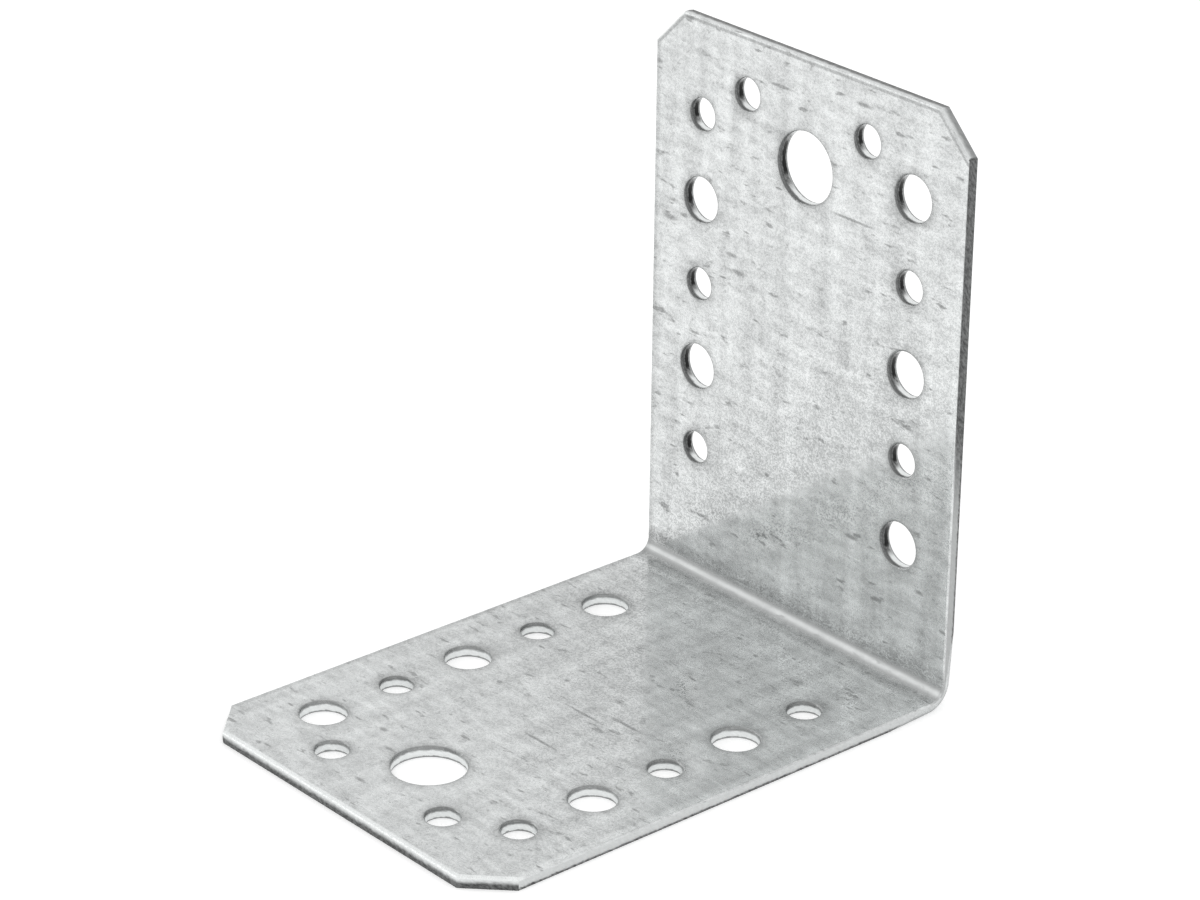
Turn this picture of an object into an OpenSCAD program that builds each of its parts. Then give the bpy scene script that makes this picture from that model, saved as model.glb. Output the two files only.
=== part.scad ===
// Perforated angle bracket: one strip of galvanised sheet, punched flat and folded once to a right angle.
// X runs across the sheet. The base leg lies on z = 0 and runs to -Y, the upright stands with its back on y = 0.
// The origin is the heel, the line where the two outer faces would meet, at mid width. All sizes in mm.

/* [Sheet] */
// width of the sheet, across the fold
width = 65; // [56:0.5:100]
// length of the upright, heel to tip
upright_length = 91.7; // [80:0.1:160]
// length of the base leg, heel to tip
base_length = 88.4; // [80:0.1:160]
// thickness of the sheet
thickness = 1.75; // [1.5:0.05:3]
// how far each free corner is cut back along both of its sides
corner_cut = 6; // [2:0.5:9]

/* [Fold] */
// inside radius of the fold
fold_radius = 2.25; // [1:0.25:4]
// how far the stretched outer face has drawn in at the fold, on each side
pinch = 0.55; // [0.1:0.05:0.8]
// length of leg over which that fades away
pinch_run = 10; // [4:1:12]

/* [Hole grid, the same on both legs and measured from the tip] */
// distance between the two columns of screw holes
columns_apart = 44; // [36:0.5:46]
// tip to the nearest row of the columns
tip_to_row = 14.8; // [13:0.1:18]
// distance from row to row
row_pitch = 13.5; // [12:0.1:14]
// number of rows in each column
row_count = 5; // [2:1:5]
// distance between the two screw holes beside the tip
tip_pair_apart = 25; // [22:0.5:28]
// tip to the centres of that pair
tip_to_pair = 9; // [7:0.25:9]
// tip to the centre of the bolt hole
tip_to_bolt = 16.7; // [14.5:0.1:24]

/* [Hole sizes, at the cut wall] */
// diameter of the small screw holes
small_screw_d = 5; // [3:0.25:6]
// diameter of the large screw holes
large_screw_d = 7; // [4:0.25:7.5]
// diameter of the bolt hole
bolt_d = 11; // [8:0.25:13]

/* [Sheared edges] */
// radius at which shearing draws the inner face down into a hole or over an edge
draw_radius = 0.4; // [0.2:0.05:0.5]
// share of the thickness that breaks away, towards the outer face, instead of being cut
break_share = 0.45; // [0.2:0.05:0.5]
// how far the broken part has stepped back at the outer face
break_step = 0.1; // [0.05:0.01:0.2]

/* [Hidden] */
$fn = 64;
galvanised = [0.78, 0.8, 0.8];
over = 1;
heel_radius = fold_radius + thickness;
break_height = thickness * break_share;
// the drawn curve meets the face and the wall at a slight angle instead of running out flat
draw_in = draw_radius * cos(12);
// the pinch starts below the drawn curve
pinch_height = thickness - 1.2 * draw_radius;
pinch_fall = atan(pinch_height / pinch_run);

// section of what shearing takes off an edge: the sheet ends at x = 0 and lies on the -X side, inner face up
module edge_loss() {
    translate([-draw_in, thickness - draw_in]) difference() {
        square(draw_in + over);
        circle(draw_radius);
    }
    polygon([[-break_step * (1 + over / break_height), -over], [over, -over], [over, break_height],
             [0, break_height]]);
}

// section of what the pinch takes off an edge, under a slanted line that comes out at the outer face
module pinch_loss(height) {
    polygon([[0, 0], [-2 * pinch, -2 * height], [over, -2 * height], [over, 0]]);
}

// section across the sheet, sheared along both sides
module sheet_section(pinched = false) {
    difference() {
        translate([-width / 2, 0]) square([width, thickness]);
        for (flip = [0, 1]) mirror([flip, 0]) translate([width / 2, 0]) {
            edge_loss();
            if (pinched) translate([0, pinch_height]) pinch_loss(pinch_height);
        }
    }
}

// shear cut through the leg along a line past x, y: facing is the angle of the direction that is cut away
module shear_line(x, y, facing) {
    translate([x, y, 0]) rotate([90, 0, facing]) linear_extrude(height = 2 * width, center = true) {
        edge_loss();
        translate([0, -over]) square([corner_cut + 2 * over, thickness + 2 * over]);
    }
}

// round hole punched from the inner face: drawn rim, cut wall, then the broken part that opens to the outer face
module punched_hole(diameter) {
    rotate_extrude() {
        translate([diameter / 2, 0]) mirror([1, 0]) edge_loss();
        translate([0, -over]) square([diameter / 2, thickness + 2 * over]);
    }
}

// hole pattern of a leg. Small and large holes take turns down each column, and across each row
module hole_grid(tip) {
    for (row = [0 : row_count - 1], side = [-1, 1])
        translate([side * columns_apart / 2, -(tip - tip_to_row - row * row_pitch), 0])
            punched_hole((side > 0) == (row % 2 == 0) ? small_screw_d : large_screw_d);
    for (side = [-1, 1])
        translate([side * tip_pair_apart / 2, -(tip - tip_to_pair), 0]) punched_hole(small_screw_d);
    translate([0, -(tip - tip_to_bolt), 0]) punched_hole(bolt_d);
}

// one leg as it lies: outer face on z = 0, from the end of the fold to its tip
module leg(tip) {
    difference() {
        translate([0, -heel_radius, 0]) rotate([90, 0, 0])
            linear_extrude(height = tip - heel_radius + over) sheet_section();
        shear_line(0, -tip, -90);
        for (side = [-1, 1])
            shear_line(side * width / 2, corner_cut - tip, -90 + side * 45);
        // the pinch fades along the leg because its slanted face runs out through the outer one
        for (flip = [0, 1]) mirror([flip, 0, 0])
            translate([width / 2, -heel_radius, pinch_height]) rotate([90 + pinch_fall, 0, 0])
                translate([0, 0, -over]) linear_extrude(height = pinch_run + 3 * over)
                    pinch_loss(pinch_height * cos(pinch_fall));
        hole_grid(tip);
    }
}

// quarter turn of the same section, from the base leg up to the upright
module fold() {
    translate([0, -heel_radius, heel_radius]) rotate([0, 90, 0])
        rotate_extrude(angle = 90) translate([heel_radius, 0]) rotate(90) sheet_section(pinched = true);
}

// the upright is the same leg turned half round the line that halves the angle, so its columns change sides
module bracket() {
    color(galvanised) union() {
        leg(base_length);
        fold();
        rotate(a = 180, v = [0, -1, 1]) leg(upright_length);
    }
}

bracket();
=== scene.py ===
import math

import bpy
from mathutils import Euler, Matrix, Vector


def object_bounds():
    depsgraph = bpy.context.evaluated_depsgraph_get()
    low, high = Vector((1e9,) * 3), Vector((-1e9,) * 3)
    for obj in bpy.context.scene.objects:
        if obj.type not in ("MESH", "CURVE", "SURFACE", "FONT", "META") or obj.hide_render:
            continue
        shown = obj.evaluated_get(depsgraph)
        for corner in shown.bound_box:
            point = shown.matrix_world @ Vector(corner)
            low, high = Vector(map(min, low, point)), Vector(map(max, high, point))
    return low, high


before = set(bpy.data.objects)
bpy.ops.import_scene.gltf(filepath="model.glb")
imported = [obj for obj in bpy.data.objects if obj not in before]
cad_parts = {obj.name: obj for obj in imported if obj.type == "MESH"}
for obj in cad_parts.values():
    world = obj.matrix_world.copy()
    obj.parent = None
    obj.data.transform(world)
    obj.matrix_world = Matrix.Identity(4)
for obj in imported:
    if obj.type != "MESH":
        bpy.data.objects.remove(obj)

cad_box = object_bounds()

# The camera looks down on the inside of the angle from its open corner, through a long lens, so the legs
# hardly taper. It is held a little out of level, as the photograph was.
camera_azimuth = math.radians(48.778)
camera_elevation = math.radians(24.814)
camera_roll = math.radians(0.71)
camera_distance = 0.654
camera_aim = Vector((-0.0284, -0.01545, 0.02419))

camera = bpy.data.objects.new("camera", bpy.data.cameras.new("camera"))
camera.data.lens = 129.47
camera.data.sensor_width = 36
turned = Euler((math.pi / 2 - camera_elevation, 0, camera_azimuth)).to_matrix().to_4x4()
rolled = Matrix.Rotation(camera_roll, 4, "Z")
drawn_back = Matrix.Translation((0, 0, camera_distance))
camera.matrix_world = Matrix.Translation(camera_aim) @ turned @ rolled @ drawn_back
bpy.context.scene.collection.objects.link(camera)
bpy.context.scene.camera = camera

# The bracket is one strip of steel sheet that was hot-dip galvanised as a coil. The strip was punched and
# cropped while it was flat, from the face that ends up inside the angle, and then folded across its middle
# in a press. Its outer sizes are those of the solid.
mm = 0.001
lowest, highest = cad_box
half_width = highest[0]
base_length = -lowest[1]
upright_length = highest[2]
sheet = 1.75 * mm
fold_radius = 2.25 * mm             # on the inside
heel = sheet + fold_radius          # from the backs of the legs to the middle of the fold
corner_cut = 6 * mm

galvanised = bpy.data.materials.new("galvanised_sheet")
galvanised.use_nodes = True
nodes = galvanised.node_tree.nodes
links = galvanised.node_tree.links
finish = nodes["Principled BSDF"]


class Reading:
    """A number or a colour that differs from place to place on the metal, and can be reckoned with."""

    def __init__(self, socket):
        self.socket = socket

    def __add__(self, other):
        return reckon("ADD", self, other)

    def __sub__(self, other):
        return reckon("SUBTRACT", self, other)

    def __rsub__(self, other):
        return reckon("SUBTRACT", other, self)

    def __mul__(self, other):
        return reckon("MULTIPLY", self, other)

    def __abs__(self):
        return reckon("ABSOLUTE", self)


def feed(socket, value):
    """Gives a socket a reading from the metal, a number or a colour."""
    if isinstance(value, Reading):
        links.new(value.socket, socket)
    else:
        socket.default_value = value


def reckon(operation, *values):
    """One sum, done at every place on the metal."""
    step = nodes.new("ShaderNodeMath")
    step.operation = operation
    for socket, value in zip(step.inputs, values):
        feed(socket, value)
    return Reading(step.outputs[0])


def span(one_way, other_way):
    """The straight distance made up of two distances at right angles."""
    return reckon("SQRT", one_way * one_way + other_way * other_way)


def rise(reading, start, end):
    """Goes smoothly from 0 where the reading is at start to 1 where it is at end."""
    ramp = nodes.new("ShaderNodeMapRange")
    ramp.interpolation_type = "SMOOTHSTEP"
    feed(ramp.inputs["Value"], reading)
    ramp.inputs["From Min"].default_value = start
    ramp.inputs["From Max"].default_value = end
    return Reading(ramp.outputs["Result"])


def mix(kind, first_input, result, share, without, with_it):
    """Goes from one value to another of the same kind. The two lie side by side among the node's inputs."""
    mixer = nodes.new("ShaderNodeMix")
    mixer.data_type = kind
    feed(mixer.inputs[0], share)
    feed(mixer.inputs[first_input], without)
    feed(mixer.inputs[first_input + 1], with_it)
    return Reading(mixer.outputs[result])


def choose(share, without, with_it):
    """Goes from one number to another as the share goes from 0 to 1."""
    return mix("FLOAT", 2, 0, share, without, with_it)


def tint(share, without, with_it):
    """Goes from one colour to another as the share goes from 0 to 1."""
    return mix("RGBA", 6, 2, share, without, with_it)


def metal(brightness):
    """The slightly cool grey of zinc and steel."""
    red, blue = 0.978, 0.998        # beside green
    return (red * brightness, brightness, blue * brightness, 1)


# Every mark on the zinc follows the strip as it lay flat: across it is X, and along it runs from the tip of
# the base, through the heel at 0, to the tip of the upright. Depth is measured down from the inner face.
place = nodes.new("ShaderNodeTexCoord")
split = nodes.new("ShaderNodeSeparateXYZ")
links.new(place.outputs["Object"], split.inputs[0])
across, back, height = (Reading(socket) for socket in split.outputs)
facing = nodes.new("ShaderNodeSeparateXYZ")
links.new(place.outputs["Normal"], facing.inputs[0])
face_x, face_y, face_z = (Reading(socket) for socket in facing.outputs)

along = back + height
on_upright = reckon("GREATER_THAN", along, 0)
on_base = 1 - on_upright
in_fold = reckon("GREATER_THAN", back, -heel) * reckon("LESS_THAN", height, heel)
inner_face = reckon("GREATER_THAN", face_z - face_y, 0)
flat_depth = choose(on_upright, sheet - height, back + sheet)
depth = choose(in_fold, flat_depth, span(back + heel, height - heel) - fold_radius)

# The grain changes with the depth too, or it would run down the cut edges in stripes.
change_with_depth = 45
strip = nodes.new("ShaderNodeCombineXYZ")
for socket, value in zip(strip.inputs, (across, along, inner_face + depth * change_with_depth)):
    feed(socket, value)


def on_strip(middle, size):
    """Lays the strip out around a place on it, as many sizes away. Its two faces are far apart."""
    faces_apart = 37
    stretch = nodes.new("ShaderNodeVectorMath")
    stretch.operation = "MULTIPLY_ADD"
    links.new(strip.outputs[0], stretch.inputs[0])
    scale = (1 / size[0], 1 / size[1], faces_apart)
    stretch.inputs[1].default_value = scale
    stretch.inputs[2].default_value = [-there * times for there, times in zip(middle, scale)]
    return stretch.outputs[0]


def grain(width, length, pattern, detail=2, rough=0.5):
    """Marks of about this size scattered over the strip, from 0 to 1. Each pattern number is another."""
    patterns_apart = 0.2
    noise = nodes.new("ShaderNodeTexNoise")
    links.new(on_strip((0, 0, -patterns_apart * pattern), (width, length)), noise.inputs["Vector"])
    noise.inputs["Scale"].default_value = 1
    noise.inputs["Detail"].default_value = detail
    noise.inputs["Roughness"].default_value = rough
    return Reading(noise.outputs["Fac"])


def dab(x, distance, half_length, half_breadth):
    """One mark that lies across the strip, on the face inside the angle. Its place and sizes are in mm."""
    from_middle = nodes.new("ShaderNodeVectorMath")
    from_middle.operation = "LENGTH"
    middle = (x * mm, distance * mm, 1)
    links.new(on_strip(middle, (half_length * mm, half_breadth * mm)), from_middle.inputs[0])
    return rise(Reading(from_middle.outputs["Value"]), 1.3, 0.2)


# The zinc skin is bright and a little cloudy, with smooth and dull spots too small to tell apart, and fine
# pits. Rolling left faint bands along the strip and a grain across it, and the coil and the press left dark
# flecks, two pale lines and a few scratches.
clouds = grain(3.4 * mm, 3.0 * mm, pattern=1, detail=3, rough=0.7)
fine_grain = grain(1.2 * mm, 1.1 * mm, pattern=10, detail=3, rough=0.8)
cross_grain = grain(3.4 * mm, 1.1 * mm, pattern=2, detail=2, rough=0.6)
cross_bands = grain(5.5 * mm, 1.9 * mm, pattern=12, detail=2, rough=0.4)
long_bands = grain(2.9 * mm, 30 * mm, pattern=15, detail=2, rough=0.4)
dull_spots = rise(grain(0.30 * mm, 0.26 * mm, pattern=14, detail=0), 0.43, 0.55)
pits = rise(grain(0.9 * mm, 0.7 * mm, pattern=11, detail=1), 0.64, 0.78)
scratches = rise(grain(11 * mm, 0.35 * mm, pattern=6, detail=1), 0.735, 0.79)
fleck_patches = rise(grain(4.5 * mm, 3.5 * mm, pattern=5), 0.42, 0.60)
flecks = rise(grain(3.4 * mm, 1.1 * mm, pattern=4, detail=2, rough=0.6), 0.58, 0.84) * fleck_patches * 2.1

# The flecks that catch the eye lie where the photograph has them: across, along and half sizes, in mm.
single_flecks = ((11.5, 86.2, 1.7, 0.4), (-5.5, 84.2, 2.6, 0.3), (10.1, 68.3, 4.8, 0.25),
                 (-28.5, 56.9, 1.7, 0.5), (-15, 55.0, 1.2, 0.4), (-13.5, 52.7, 1.7, 0.4),
                 (-6, 22.3, 0.5, 0.4), (12.3, 18.8, 1.5, 0.4), (26.7, 15.2, 0.9, 0.4),
                 (-26, 15.2, 0.5, 0.4), (-29.4, 3.5, 0.5, 0.4), (5, -11.7, 0.6, 0.4),
                 (0, -27.8, 0.6, 0.4), (5, -28.3, 0.6, 0.4), (-7, -38.3, 0.6, 0.4), (9, -40.7, 3.2, 0.35),
                 (2.5, -43.2, 4.6, 0.3), (-13, -46.2, 0.6, 0.4), (4.7, -53.3, 3.8, 0.3),
                 (-12.5, -68.3, 0.9, 0.4), (-3, -80, 1.3, 0.4), (-21, -84.3, 0.6, 0.4))
for fleck in single_flecks:
    flecks = reckon("MAXIMUM", flecks, dab(*fleck))
pale_lines = reckon("MAXIMUM", dab(0.5, 21.3, 17, 0.45), dab(13.5, -67.3, 4.6, 0.3))

average = 0.5                       # of any grain
grains = ((clouds, 0.4), (fine_grain, 1.1), (cross_grain, 0.6), (cross_bands, 1), (long_bands, 1))
marks = scratches * 0.3 + pale_lines * 0.25 - flecks * 1.2 - pits * 0.4
for kind, strength in grains:
    marks = marks + (kind - average) * strength
marks = marks * choose(on_upright, 0.72, 0.85)

# The cut walls lie square to the faces of the sheet, and the bands on them lie at a depth below the inner
# face. The bands have ragged borders, and bare steel is speckled.
flat_lie = choose(on_upright, abs(face_z), abs(face_y))
lie = choose(in_fold, flat_lie, span(face_y, face_z))       # 1 on the faces of the sheet, 0 on its cut walls
ragged_depth = depth + (grain(1.1 * mm, 1.1 * mm, pattern=7, detail=3, rough=0.7) - average) * (0.6 * mm)
speckle = grain(0.6 * mm, 0.6 * mm, pattern=8, detail=3, rough=0.7)

# The holes were punched in two columns of five, large and small by turns, with a pair and a bolt hole by the
# tip. Each leg has the same pattern, measured from its tip.
column = 22 * mm                    # from mid width
tip_to_row = 14.8 * mm
row_pitch = 13.5 * mm
last_row = 4                        # the fifth, because the one nearest the tip is 0
pair_aside = 12.5 * mm
tip_to_pair = 9 * mm
tip_to_bolt = 16.7 * mm
small_radius, large_radius, bolt_radius = 2.5 * mm, 3.5 * mm, 5.5 * mm

to_tip = choose(on_upright, back + base_length, upright_length - height)
aside = abs(across)
row = reckon("ROUND", (to_tip - tip_to_row) * (1 / row_pitch))
row = reckon("MINIMUM", reckon("MAXIMUM", row, 0), last_row)
large_one = reckon("MODULO", row + reckon("LESS_THAN", across, 0) + on_upright, 2)
radius = choose(large_one, small_radius, large_radius)
from_screw = span(aside - column, to_tip - tip_to_row - row * row_pitch) - radius
from_pair = span(aside - pair_aside, to_tip - tip_to_pair) - small_radius
from_bolt = span(across, to_tip - tip_to_bolt) - bolt_radius
from_hole = reckon("MINIMUM", reckon("MINIMUM", from_screw, from_pair), from_bolt)

# The punch drew each rim in and smeared zinc down the wall, so a line where the steel broke shows dark.
# A soft ring of painted shade round each hole stands for the drawn-in rim's reflection. The rim and the top
# of the wall are dull from the punch and carry painted shade as well. On the side of each rim that faces
# right lies a painted dark reflection, and the upright's walls that face right carry another, darkest part
# way down.
# dull zinc, also used as painted shade on the rims and on the tops of the walls
dull_zinc_and_painted_shade = metal(0.40)
at_hole = rise(from_hole, 0.8 * mm, 0.6 * mm)
# painted shade: a soft dark ring round each hole, for the reflection of its drawn-in rim
painted_shade_halo = rise(from_hole, 1.9 * mm, 0.1 * mm)
rim_depth = rise(ragged_depth, 0.75 * mm, 0.36 * mm)
# painted dark reflection on the side of each rim that faces right
reflection_side_on_base = face_x * 0.94 - face_y * 0.34
reflection_side_on_upright = face_x * 0.9 + face_z * 0.43
painted_reflection_side = rise(choose(on_upright, reflection_side_on_base, reflection_side_on_upright), 0.12, 0.5)
base_painted_reflection_strength = choose(rise(radius, small_radius, large_radius), 0.55, 0.34)
painted_dark_rim_reflection = painted_reflection_side * rim_depth * at_hole * choose(on_upright, base_painted_reflection_strength, 0.75)
dull_and_shaded_rim = rise(from_hole, 0.58 * mm, 0.30 * mm) * at_hole * choose(painted_reflection_side, 0.55, 0.85)
break_line = rise(ragged_depth, 1.42 * mm, 1.56 * mm)
# painted dark reflection in the upright's walls that face right, darkest part way down
painted_wall_reflection = rise(face_x, 0.50, 0.85) * rise(ragged_depth, 1.60 * mm, 1.30 * mm) * on_upright
deepest_painted_wall_reflection = rise(face_x, 0.83, 0.93) * rise(ragged_depth, 0.50 * mm, 0.75 * mm) * painted_wall_reflection

smeared_zinc = tint(speckle, metal(0.71), metal(0.94))
painted_reflection_steel = tint(rise(speckle, 0.35, 0.65), metal(0.07), metal(0.28))
# the top of each wall is dull and also carries painted shade
wall_colour = tint(rim_depth, smeared_zinc, dull_zinc_and_painted_shade)
wall_colour = tint(break_line * 0.7, wall_colour, metal(0.10))
wall_colour = tint(painted_wall_reflection, wall_colour, painted_reflection_steel)
wall_colour = tint(deepest_painted_wall_reflection, wall_colour, metal(0.02))

# The strip's ends and corners were sheared, and show a bright rub and a dark break. Its long edges were slit
# when it was a coil, and kept more zinc. Up the upright they are darkened with painted shade, and above its
# middle they take the dark colour of bare steel as painted shade, round onto the edge's rounding.
side_gap = half_width - aside
corner_gap = (side_gap + to_tip - corner_cut) * math.sqrt(0.5)
end_gap = reckon("MINIMUM", to_tip, corner_gap)
# bare steel, also used as painted shade up the upright's long edges
bare_steel_and_painted_shade = tint(rise(speckle, 0.3, 0.7), metal(0.06), metal(0.20))
rubbed_steel = tint(speckle, metal(0.56), metal(0.86))
end_colour = tint(rise(ragged_depth, 0.25 * mm, 1.1 * mm), rubbed_steel, bare_steel_and_painted_shade)
end_colour = tint(rise(face_x, 0.5, 0.7) * on_upright * 0.3, end_colour, metal(0.7))
# the upright's slit edges are darkened with painted shade
slit_zinc_with_painted_shade = tint(on_upright * 0.4, tint(speckle, metal(0.48), metal(0.74)), metal(0.15))
slit_break = tint(rise(speckle, 0.3, 0.7), metal(0.04), metal(0.30))
slit_colour = tint(rise(ragged_depth, 1.2 * mm, 1.5 * mm), slit_zinc_with_painted_shade, slit_break)
# painted shade on the upper part of the upright's long edges
painted_shade_up_sides = rise(height, 28 * mm, 45 * mm) * on_upright * rise(side_gap, 0.35 * mm, 0.15 * mm)
edge_colour = tint(rise(abs(face_x), 0.85, 0.95), end_colour, slit_colour)
edge_colour = tint(painted_shade_up_sides, edge_colour, bare_steel_and_painted_shade)
cut = reckon("MAXIMUM", rise(lie, 0.55, 0.2), painted_shade_up_sides * rise(lie, 0.86, 0.60))

# Beside the edges the skin is marked too: a painted highlight runs along the base's end, a dark line along
# the upright's top, a lighter band along the right edge, and painted shade along the left edge.
# painted highlight along the base's end
painted_end_highlight = rise(end_gap, 1.0 * mm, 0.6 * mm) * rise(across, -27.5 * mm, -26.2 * mm) * on_base * 0.65
top_line = rise(end_gap, 0.9 * mm, 0.65 * mm) * rise(end_gap, 0.25 * mm, 0.4 * mm) * on_upright * 0.45
# painted shade along the left edge
painted_left_shade = rise(side_gap, 1.4 * mm, 0.6 * mm) * reckon("LESS_THAN", across, 0) * 0.22
bright_edge = rise(side_gap, 1.9 * mm, 0.9 * mm) * rise(side_gap, 0.1 * mm, 0.5 * mm)
bright_edge = bright_edge * reckon("GREATER_THAN", across, 0)

# The press that folded the strip smoothed the bend itself. Painted shade lies in a band down each side of the
# bend, with a painted pale line on the base beside it. The legs darken towards the bend with painted shade,
# and the base is painted lighter near it towards the right.
bend_middle = 0.35 * mm
from_bend = abs(along - bend_middle)
base_band = rise(from_bend, 3.0 * mm, 1.8 * mm)
upright_band = rise(from_bend, 4.8 * mm, 2.0 * mm)
# painted shade in a band down each side of the bend
painted_bend_shade = rise(from_bend, 0.1 * mm, 1.0 * mm) * choose(on_upright, base_band, upright_band) * inner_face
# painted pale line on the base beside the bend
painted_pale_line = rise(abs(along + 4.1 * mm), 0.9 * mm, 0.2 * mm) * inner_face
# painted shade on the legs towards the bend
painted_shade_near_bend = rise(abs(along), 75 * mm, 20 * mm)
# painted light on the base near the bend, towards the right
painted_light_near_bend = rise(from_bend, 20 * mm, 4 * mm) * rise(across, -30 * mm, 0) * on_base
smooth_and_shaded_bend = rise(from_bend, 1.7 * mm, 0.9 * mm)

# All the marks together, with the painted light and shade, give the skin its shade, from dull to bright zinc.
# The skin mirrors what is around it between its dull spots, and the cut walls are duller.
shade = marks * choose(smooth_and_shaded_bend, 1, 0.4) + choose(on_upright, 0.07, 0.13)
shade = shade + painted_pale_line * 0.25 + painted_light_near_bend * 0.18 + bright_edge * 0.14
# painted shade on the smoothed bend tones down its reflection
shade = shade - painted_shade_halo * 0.36 - smooth_and_shaded_bend * 0.28
shade = shade - painted_bend_shade * choose(on_upright, 0.44, 0.60) - painted_shade_near_bend * choose(on_upright, 0.17, 0.03)
skin_colour = tint(rise(shade, -1, 1), metal(0.37), metal(0.90))
skin_colour = tint(painted_end_highlight, skin_colour, metal(0.945))
skin_colour = tint(reckon("MAXIMUM", top_line, painted_left_shade), skin_colour, metal(0.2))
skin_colour = tint(dull_and_shaded_rim, skin_colour, dull_zinc_and_painted_shade)
colour = tint(cut, skin_colour, tint(at_hole, edge_colour, wall_colour))
# the painted dark reflection on the rims goes over everything else
feed(finish.inputs["Base Color"], tint(painted_dark_rim_reflection, colour, metal(0.09)))
skin_roughness = choose(smooth_and_shaded_bend, choose(dull_spots, 0.14, 0.60), 0.3)
feed(finish.inputs["Roughness"], choose(cut, skin_roughness, 0.4))
finish.inputs["Metallic"].default_value = 1

# The sheet isn't quite flat: it waves by a few hundredths of a millimetre, and the grain across it can just
# be felt. Both show in what the metal mirrors.
waves = grain(6 * mm, 6 * mm, pattern=9)
bump = nodes.new("ShaderNodeBump")
bump.inputs["Strength"].default_value = 1
bump.inputs["Distance"].default_value = 0.03 * mm
feed(bump.inputs["Height"], waves * 0.8 + cross_grain * 0.08)
links.new(bump.outputs["Normal"], finish.inputs["Normal"])

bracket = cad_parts["bracket"]
bracket.data.materials.clear()
bracket.data.materials.append(galvanised)

# The bracket stands on its base on a wide white floor, which runs out to plain white behind. The floor glows
# a little where it is seen, so that it is white all over and still keeps the bracket's shadow.
floor_width = 12
floor_glow = 0.32
paper = bpy.data.materials.new("white_floor")
paper.use_nodes = True
paper_finish = paper.node_tree.nodes["Principled BSDF"]
paper_finish.inputs["Base Color"].default_value = (0.9, 0.9, 0.9, 1)
paper_finish.inputs["Roughness"].default_value = 0.9
paper_finish.inputs["Specular IOR Level"].default_value = 0
paper_finish.inputs["Emission Color"].default_value = (1, 1, 1, 1)


def seen_directly(tree):
    """1 where the camera sees the surface, by itself or in metal, and 0 where it only lights others."""
    ray = tree.nodes.new("ShaderNodeLightPath")
    share = ray.outputs["Is Camera Ray"]
    for kind in ("Is Glossy Ray", "Is Transmission Ray"):
        either = tree.nodes.new("ShaderNodeMath")
        either.operation = "MAXIMUM"
        tree.links.new(share, either.inputs[0])
        tree.links.new(ray.outputs[kind], either.inputs[1])
        share = either.outputs[0]
    return share


paper_glow = paper.node_tree.nodes.new("ShaderNodeMath")
paper_glow.operation = "MULTIPLY"
paper_glow.inputs[1].default_value = floor_glow
paper.node_tree.links.new(seen_directly(paper.node_tree), paper_glow.inputs[0])
paper.node_tree.links.new(paper_glow.outputs[0], paper_finish.inputs["Emission Strength"])

bpy.ops.mesh.primitive_plane_add(size=floor_width, location=(0, 0, 0))
floor = bpy.context.object
floor.name = "floor"
floor.data.materials.append(paper)

# The light is a white room, a large soft lamp over the camera's left shoulder and a weaker one at its right.
# The room is full white where it is seen, and a little less where it only lights.
room_light_strength = 0.9
room = bpy.data.worlds.new("white_room")
bpy.context.scene.world = room
room.use_nodes = True
room_light = room.node_tree.nodes["Background"]
room_light.inputs["Color"].default_value = (1, 1, 1, 1)
room_strength = room.node_tree.nodes.new("ShaderNodeMapRange")
room.node_tree.links.new(seen_directly(room.node_tree), room_strength.inputs["Value"])
room_strength.inputs["To Min"].default_value = room_light_strength
room_strength.inputs["To Max"].default_value = 1
room.node_tree.links.new(room_strength.outputs["Result"], room_light.inputs["Strength"])

lamp_distance = 1.0
lamp_size = 0.75
lit_place = Vector((0, -0.035, 0.03))
lamps = (("key_lamp", (-0.66, -0.56, 0.50), 0.48),          # name, direction and watts
         ("side_lamp", (0.80, -0.35, 0.48), 0.40))
for name, direction, power in lamps:
    lamp = bpy.data.objects.new(name, bpy.data.lights.new(name, "AREA"))
    lamp.data.size = lamp_size
    lamp.data.energy = power
    towards = Vector(direction).normalized()
    lamp.location = lit_place + towards * lamp_distance
    lamp.rotation_euler = towards.to_track_quat("Z", "Y").to_euler()
    bpy.context.scene.collection.objects.link(lamp)

bpy.context.scene.view_settings.view_transform = "Standard"
